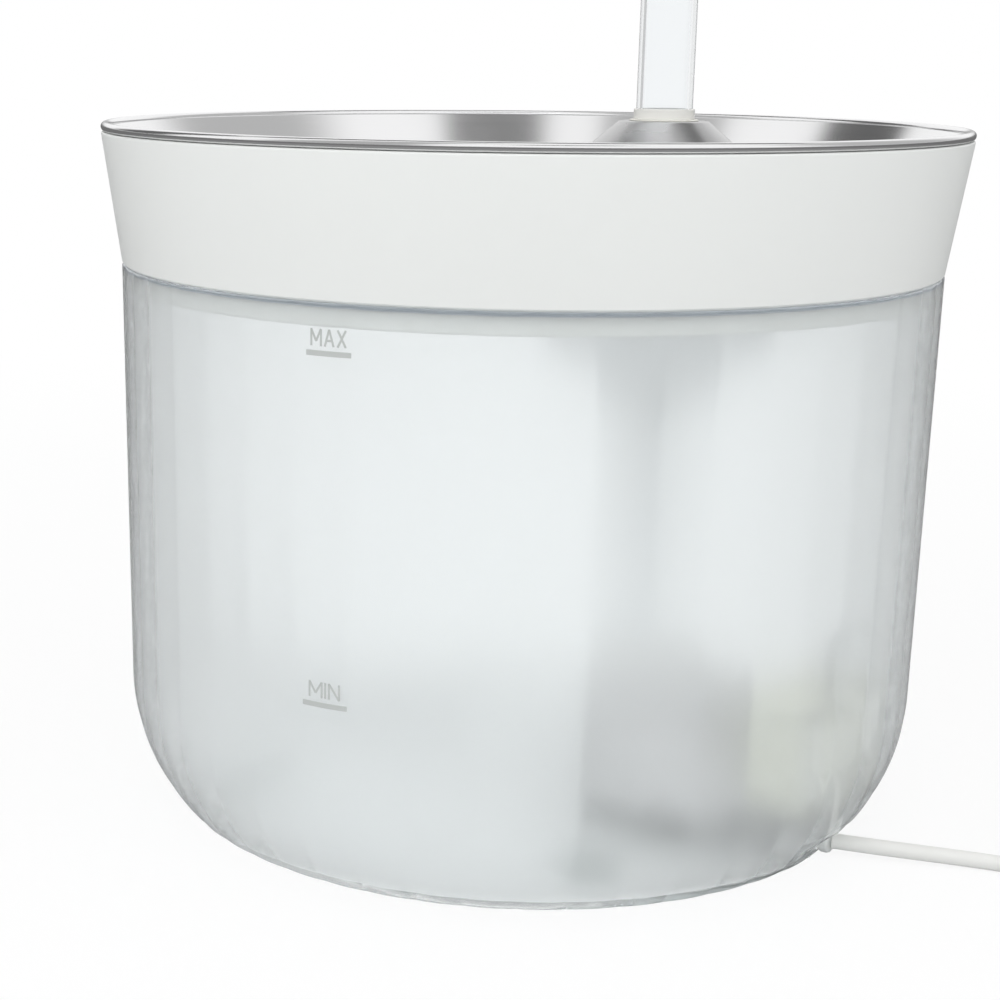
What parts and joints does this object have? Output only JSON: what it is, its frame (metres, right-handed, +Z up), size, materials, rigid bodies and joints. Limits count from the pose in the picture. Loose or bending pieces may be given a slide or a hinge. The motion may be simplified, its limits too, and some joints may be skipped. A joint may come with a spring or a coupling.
{
  "type": "pet water fountain",
  "caption": "Round pet drinking fountain: fluted frosted tank, flared ring, steel bowl with a hooked clear spout, submerged magnetic pump and a USB cord.",
  "frame": {"origin": "on the tank's axis, at the surface that the rubber feet stand on", "axes": "+Z up along the tank's axis; +Y to the rear, where the cord leaves and the spout stands; +X to the side with the level marks"},
  "size_m": [0.1983, 0.266, 0.229],
  "materials": {
    "frosted_tank": "frosted translucent, fluted",
    "white_moulding": "satin",
    "seal_rubber": "matt",
    "screw_steel": "plated",
    "foot_rubber": "matt",
    "dark_moulding": "satin",
    "board": "solder mask",
    "core_steel": "stamped",
    "winding_copper": "enamelled wire",
    "pump_grey": "satin",
    "impeller_white": "satin",
    "magnet": "ferrite",
    "pin_steel": "polished",
    "hood_grey": "satin",
    "tray_clear": "milky clear",
    "filter_foam": "open foam",
    "pipe_grey": "satin",
    "bowl_steel": "polished, fine spun lines",
    "white_rubber": "matt",
    "clear_tube": "clear, polished",
    "ring_white": "satin",
    "gland_clear": "translucent",
    "cord_white": "satin",
    "plug_white": "fine spark texture",
    "plug_steel": "bright",
    "plug_tongue": "matt",
    "contact_gold": "plated"
  },
  "bodies": {
    "base": {"tank": "frosted_tank", "base_cover": "white_moulding", "cover_gasket": "seal_rubber", "cover_screws": "screw_steel", "rubber_feet": "foot_rubber", "driver_case": "dark_moulding", "circuit_board": "board", "stator_core": "core_steel", "drive_coils": "winding_copper", "pump_base": "pump_grey", "chamber_lid": "pump_grey", "rotor_shaft": "pin_steel", "shaft_bushes": "seal_rubber", "pump_cover": "hood_grey", "filter_holder": "tray_clear", "riser_pipe": "pipe_grey", "cord_gland": "gland_clear", "inner_lead": "cord_white", "power_cord": "cord_white", "cord_coil": "cord_white", "cord_tail": "cord_white", "plug_body": "plug_white", "plug_shell": "plug_steel", "plug_tongue": "plug_tongue", "plug_contacts": "contact_gold"},
    "rotor": {"impeller": "impeller_white", "rotor_magnet": "magnet"},
    "filter": {"filter_sponge": "filter_foam"},
    "collar": {"collar_ring": "ring_white"},
    "dish": {"bowl": "bowl_steel", "spout_grommet": "white_rubber", "spout_adapter": "pipe_grey", "riser_seal": "seal_rubber"},
    "spout_seat": {"spout_socket": "white_rubber"},
    "spout": {"spout_tube": "clear_tube"}
  },
  "joints": [
    {"name": "impeller_spin", "type": "hinge", "parent": "base", "child": "rotor", "pos_m": [0, 0.046, 0.025], "axis": [0, 0, 1], "continuous": true},
    {"name": "filter_lift", "type": "slide", "parent": "base", "child": "filter", "axis": [0, 0, 1], "range_m": [0, 0.06]},
    {"name": "collar_lift", "type": "slide", "parent": "base", "child": "collar", "axis": [0, 0, 1], "range_m": [0, 0.045]},
    {"name": "dish_lift", "type": "slide", "parent": "collar", "child": "dish", "axis": [0, 0, 1], "range_m": [0, 0.068]},
    {"name": "spout_pull", "type": "slide", "parent": "dish", "child": "spout_seat", "axis": [0, 0, 1], "range_m": [0, 0.056]},
    {"name": "spout_swivel", "type": "hinge", "parent": "spout_seat", "child": "spout", "pos_m": [0, 0.033, 0.159], "axis": [0, 0, 1], "continuous": true}
  ]
}
